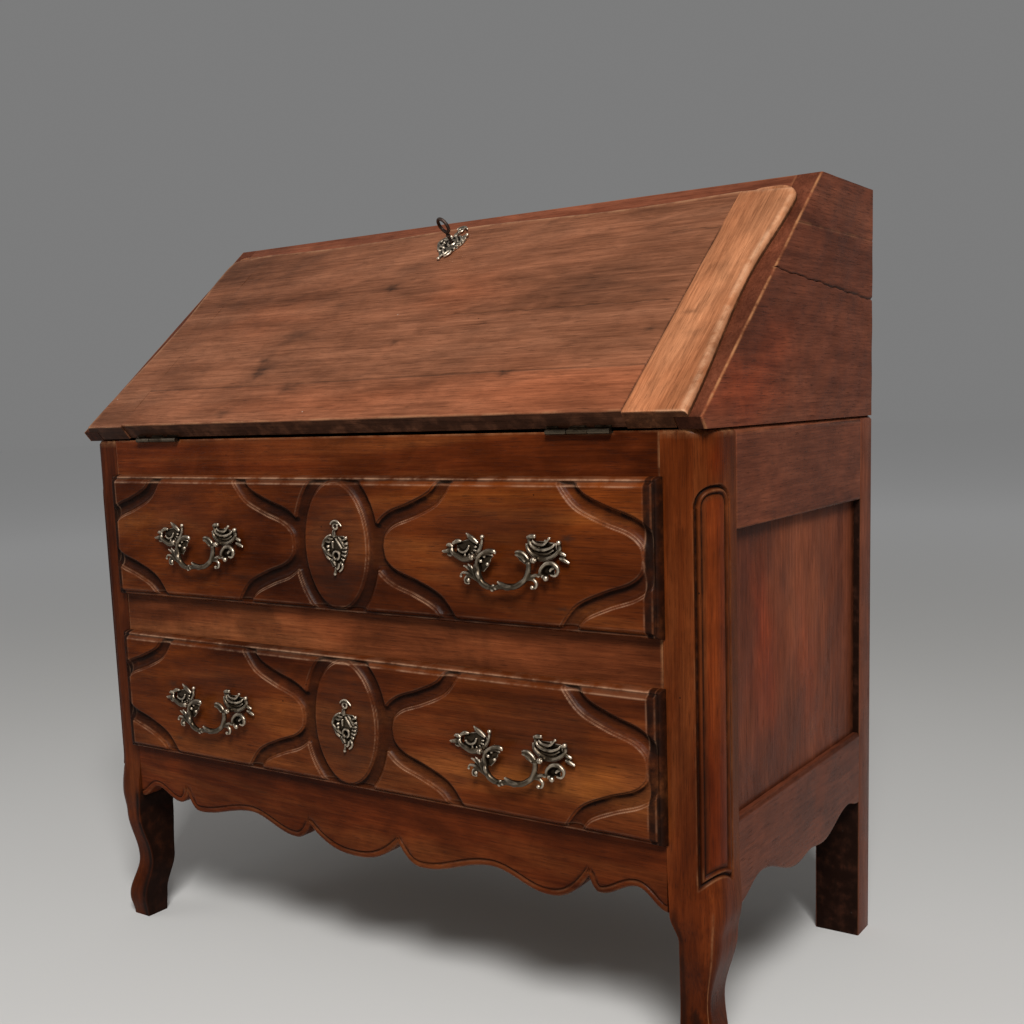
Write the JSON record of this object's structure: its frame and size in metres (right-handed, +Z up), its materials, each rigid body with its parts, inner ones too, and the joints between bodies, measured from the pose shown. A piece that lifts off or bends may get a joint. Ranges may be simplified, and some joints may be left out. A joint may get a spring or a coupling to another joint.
{
  "type": "slant-front bureau",
  "caption": "Slant-front writing bureau in red-brown walnut: carved drawers below a sloping fall that hinges out to a desk, shaped aprons, cabriole front feet, cast brass bail handles.",
  "frame": {"origin": "on the floor, under the middle of the overall box", "axes": "+Z up, front towards -Y, +X to the viewer's right facing the front"},
  "size_m": [1.008, 0.5576, 1.034],
  "materials": {
    "walnut": "old wax polish over a worn, red-brown stained surface",
    "oak": "bare, dry inside wood",
    "brass": "cast, dark antique patina with rubbed high spots",
    "iron": "dark forged iron"
  },
  "bodies": {
    "case": {"bottom_board": "oak", "desk_side_left": "walnut", "desk_side_right": "walnut", "desk_top": "walnut", "dust_board": "oak", "fall_lock_keeper": "brass", "front_apron": "walnut", "front_stile_left": "walnut", "front_stile_right": "walnut", "hinge_leaf_fixed_left": "brass", "hinge_leaf_fixed_right": "brass", "lower_back_panel": "oak", "middle_front_rail": "walnut", "pigeonhole_nest": "oak", "rear_stile_left": "walnut", "rear_stile_right": "walnut", "side_apron_left": "walnut", "side_apron_right": "walnut", "side_panel_left": "walnut", "side_panel_right": "walnut", "side_top_rail_left": "walnut", "side_top_rail_right": "walnut", "top_front_rail": "walnut", "upper_back_panel": "oak", "writing_bed": "walnut"},
    "fall": {"fall_board": "walnut", "fall_cleat_left": "walnut", "fall_cleat_right": "walnut", "fall_escutcheon": "brass", "fall_lock": "iron", "hinge_leaf_fall_left": "brass", "hinge_leaf_fall_right": "brass"},
    "fall_bolt": {"fall_lock_bolt": "brass"},
    "key": {"key": "iron"},
    "upper_drawer": {"upper_drawer_bottom": "oak", "upper_drawer_escutcheon": "brass", "upper_drawer_frame": "oak", "upper_drawer_front": "walnut", "upper_drawer_lock": "iron", "handle_upper_left_mount_left": "brass", "handle_upper_left_mount_right": "brass", "handle_upper_right_mount_left": "brass", "handle_upper_right_mount_right": "brass"},
    "upper_bolt": {"upper_drawer_bolt": "brass"},
    "bail_upper_left": {"handle_upper_left_bail": "brass"},
    "bail_upper_right": {"handle_upper_right_bail": "brass"},
    "lower_drawer": {"lower_drawer_bottom": "oak", "lower_drawer_escutcheon": "brass", "lower_drawer_frame": "oak", "lower_drawer_front": "walnut", "lower_drawer_lock": "iron", "handle_lower_left_mount_left": "brass", "handle_lower_left_mount_right": "brass", "handle_lower_right_mount_left": "brass", "handle_lower_right_mount_right": "brass"},
    "lower_bolt": {"lower_drawer_bolt": "brass"},
    "bail_lower_left": {"handle_lower_left_bail": "brass"},
    "bail_lower_right": {"handle_lower_right_bail": "brass"},
    "inner_drawer_left": {"inner_drawer_left": "walnut"},
    "inner_drawer_right": {"inner_drawer_right": "walnut"}
  },
  "joints": [
    {"name": "fall_hinge", "type": "hinge", "parent": "case", "child": "fall", "pos_m": [0, -0.24785, 0.735], "axis": [1, 0, 0], "range_deg": [0, 140.26]},
    {"name": "key_turn", "type": "hinge", "parent": "fall", "child": "key", "pos_m": [-0.0145, 0.02475, 0.99285], "axis": [0, -0.6393, 0.769], "range_deg": [0, 180]},
    {"name": "fall_bolt_slide", "type": "slide", "parent": "fall", "child": "fall_bolt", "axis": [0, 0.769, 0.6393], "range_m": [0, 0.02]},
    {"name": "upper_drawer_slide", "type": "slide", "parent": "case", "child": "upper_drawer", "axis": [0, -1, 0], "range_m": [0, 0.35]},
    {"name": "upper_bolt_slide", "type": "slide", "parent": "upper_drawer", "child": "upper_bolt", "axis": [0, 0, 1], "range_m": [0, 0.01]},
    {"name": "bail_upper_left_swing", "type": "hinge", "parent": "upper_drawer", "child": "bail_upper_left", "pos_m": [-0.256, -0.27365, 0.594], "axis": [-1, 0, 0], "range_deg": [0, 85]},
    {"name": "bail_upper_right_swing", "type": "hinge", "parent": "upper_drawer", "child": "bail_upper_right", "pos_m": [0.256, -0.27365, 0.594], "axis": [-1, 0, 0], "range_deg": [0, 85]},
    {"name": "lower_drawer_slide", "type": "slide", "parent": "case", "child": "lower_drawer", "axis": [0, -1, 0], "range_m": [0, 0.35]},
    {"name": "lower_bolt_slide", "type": "slide", "parent": "lower_drawer", "child": "lower_bolt", "axis": [0, 0, 1], "range_m": [0, 0.01]},
    {"name": "bail_lower_left_swing", "type": "hinge", "parent": "lower_drawer", "child": "bail_lower_left", "pos_m": [-0.256, -0.27365, 0.36275], "axis": [-1, 0, 0], "range_deg": [0, 85]},
    {"name": "bail_lower_right_swing", "type": "hinge", "parent": "lower_drawer", "child": "bail_lower_right", "pos_m": [0.256, -0.27365, 0.36275], "axis": [-1, 0, 0], "range_deg": [0, 85]},
    {"name": "inner_drawer_left_slide", "type": "slide", "parent": "case", "child": "inner_drawer_left", "axis": [0, -1, 0], "range_m": [0, 0.12]},
    {"name": "inner_drawer_right_slide", "type": "slide", "parent": "case", "child": "inner_drawer_right", "axis": [0, -1, 0], "range_m": [0, 0.12]}
  ],
  "couplings": [
    {"joint": "key_turn", "follows": "fall_bolt_slide", "rad_per_m": 157.08}
  ]
}
